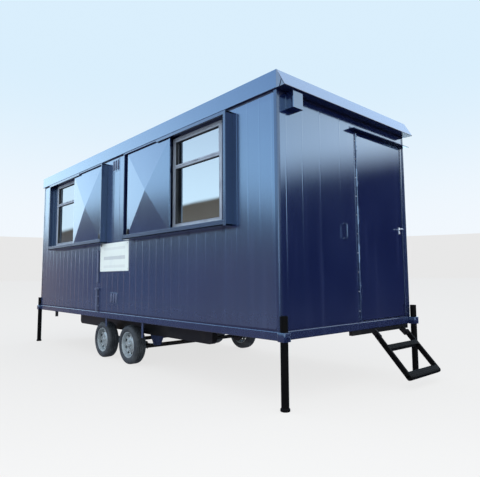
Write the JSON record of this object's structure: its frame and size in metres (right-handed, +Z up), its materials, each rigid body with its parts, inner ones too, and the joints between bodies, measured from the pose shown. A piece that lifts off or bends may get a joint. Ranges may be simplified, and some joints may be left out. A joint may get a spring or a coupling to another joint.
{
  "type": "portable site cabin",
  "caption": "Towable steel site cabin on twin axles with corner legs, end door with steps and windows with sliding security shutters.",
  "frame": {"origin": "on the floor, under the middle of the overall plan box", "axes": "+X along the cabin towards the door end, +Y across it away from the windows, +Z up"},
  "size_m": [6.6296, 2.462, 3.057],
  "materials": {
    "navy_paint": "gloss navy blue paint over pressed steel, sagging reflections and slight road dust",
    "black_paint": "black chassis paint, semi-gloss, chipped at edges",
    "floor_board": "sealed plywood floor",
    "roof_sheet": "weathered grey roof sheet",
    "window_metal": "mill finish aluminium",
    "window_glass": "clear glazing that mirrors the sky",
    "sign_white": "white sign board, no lettering",
    "lock_metal": "bright chrome",
    "tyre_rubber": "worn dusty tyre rubber",
    "rim_paint": "silver painted pressed steel rim"
  },
  "bodies": {
    "cabin": {"side_rails": "navy_paint", "end_rails": "navy_paint", "cross_members": "black_paint", "floor": "floor_board", "window_wall": "navy_paint", "back_wall": "navy_paint", "far_end_wall": "navy_paint", "wall_beside_door": "navy_paint", "wall_over_door": "navy_paint", "latch_post": "navy_paint", "door_sill": "navy_paint", "roof": "roof_sheet", "side_fascias": "navy_paint", "door_end_fascia": "navy_paint", "far_end_fascia": "navy_paint", "drip_rail": "navy_paint", "window_frames": "window_metal", "window_glass": "window_glass", "shutter_tracks": "navy_paint", "wall_vents": "navy_paint", "sign_plate": "sign_white", "service_pipe": "navy_paint", "waste_pipe": "black_paint", "inlet_box": "navy_paint", "door_holdback": "navy_paint", "hinge_barrels": "navy_paint", "leg_sockets": "navy_paint", "chassis_beams": "black_paint", "running_gear": "black_paint", "under_brackets": "navy_paint", "step_brackets": "black_paint"},
    "door": {"door_leaf": "navy_paint", "lock_plate": "lock_metal"},
    "door_lever": {"door_lever": "lock_metal"},
    "left_shutter": {"left_shutter": "navy_paint"},
    "right_shutter": {"right_shutter": "navy_paint"},
    "wheel_near_front": {"tyre_near_front": "tyre_rubber", "rim_near_front": "rim_paint"},
    "wheel_near_rear": {"tyre_near_rear": "tyre_rubber", "rim_near_rear": "rim_paint"},
    "wheel_off_front": {"tyre_off_front": "tyre_rubber", "rim_off_front": "rim_paint"},
    "wheel_off_rear": {"tyre_off_rear": "tyre_rubber", "rim_off_rear": "rim_paint"},
    "leg_near_door": {"leg_near_door": "black_paint"},
    "leg_off_door": {"leg_off_door": "black_paint"},
    "leg_near_far": {"leg_near_far": "black_paint"},
    "leg_off_far": {"leg_off_far": "black_paint"},
    "steps": {"steps": "black_paint"}
  },
  "joints": [
    {"name": "door_hinge", "type": "hinge", "parent": "cabin", "child": "door", "pos_m": [2.87873, 0.126, 1.695], "axis": [0, 0, -1], "range_deg": [0, 110]},
    {"name": "lever_turn", "type": "hinge", "parent": "door", "child": "door_lever", "pos_m": [2.91123, 1.004, 1.698], "axis": [1, 0, 0], "range_deg": [0, 40], "stiffness_Nm_per_rad": 0.8, "springref_deg": -14.32},
    {"name": "left_shutter_slide", "type": "slide", "parent": "cabin", "child": "left_shutter", "axis": [-1, 0, 0], "range_m": [0, 0.965]},
    {"name": "right_shutter_slide", "type": "slide", "parent": "cabin", "child": "right_shutter", "axis": [1, 0, 0], "range_m": [0, 0.92]},
    {"name": "wheel_near_front_spin", "type": "hinge", "parent": "cabin", "child": "wheel_near_front", "pos_m": [0.01973, -0.9795, 0.255], "axis": [0, 1, 0], "continuous": true},
    {"name": "wheel_near_rear_spin", "type": "hinge", "parent": "cabin", "child": "wheel_near_rear", "pos_m": [-0.74527, -0.9795, 0.255], "axis": [0, 1, 0], "continuous": true},
    {"name": "wheel_off_front_spin", "type": "hinge", "parent": "cabin", "child": "wheel_off_front", "pos_m": [0.01973, 1.0315, 0.255], "axis": [0, 1, 0], "continuous": true},
    {"name": "wheel_off_rear_spin", "type": "hinge", "parent": "cabin", "child": "wheel_off_rear", "pos_m": [-0.74527, 1.0315, 0.255], "axis": [0, 1, 0], "continuous": true},
    {"name": "leg_near_door_slide", "type": "slide", "parent": "cabin", "child": "leg_near_door", "axis": [0, 0, 1], "range_m": [0, 0.35]},
    {"name": "leg_off_door_slide", "type": "slide", "parent": "cabin", "child": "leg_off_door", "axis": [0, 0, 1], "range_m": [0, 0.35]},
    {"name": "leg_near_far_slide", "type": "slide", "parent": "cabin", "child": "leg_near_far", "axis": [0, 0, 1], "range_m": [0, 0.35]},
    {"name": "leg_off_far_slide", "type": "slide", "parent": "cabin", "child": "leg_off_far", "axis": [0, 0, 1], "range_m": [0, 0.35]},
    {"name": "steps_pivot", "type": "hinge", "parent": "cabin", "child": "steps", "pos_m": [2.92423, 0.6845, 0.49], "axis": [0, -1, 0], "range_deg": [0, 48]}
  ]
}
